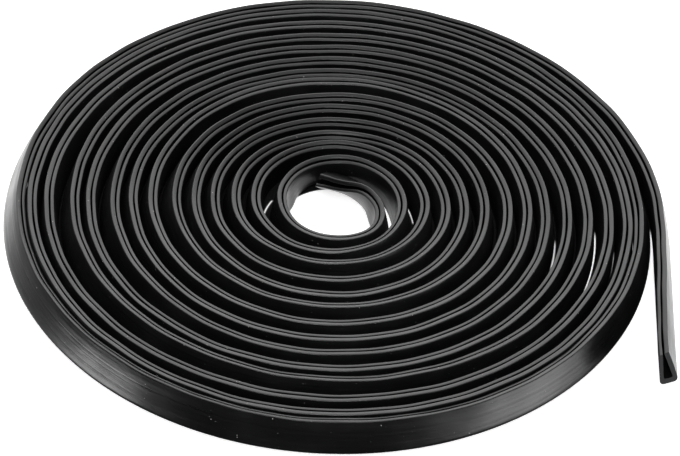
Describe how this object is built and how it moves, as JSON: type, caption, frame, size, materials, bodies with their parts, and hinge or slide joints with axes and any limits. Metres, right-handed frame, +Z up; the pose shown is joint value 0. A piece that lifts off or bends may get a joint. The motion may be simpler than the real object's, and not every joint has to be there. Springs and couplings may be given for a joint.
{
  "type": "edge trim seal",
  "caption": "Black rubber edge trim with a hollow wedge section and a narrow mouth, lying as a loose flat coil with both cut ends showing.",
  "frame": {"origin": "middle of the coil's footprint box, on the floor it lies on", "axes": "+Z up, the way the strip's mouth points; the free outer end runs off straight towards -Y on the +X side"},
  "size_m": [0.1974, 0.1944, 0.0112],
  "materials": {
    "black_rubber": "satin black extruded rubber with fine lengthwise drawing lines"
  },
  "bodies": {
    "root": {"trim_strip": "black_rubber"}
  },
  "joints": []
}
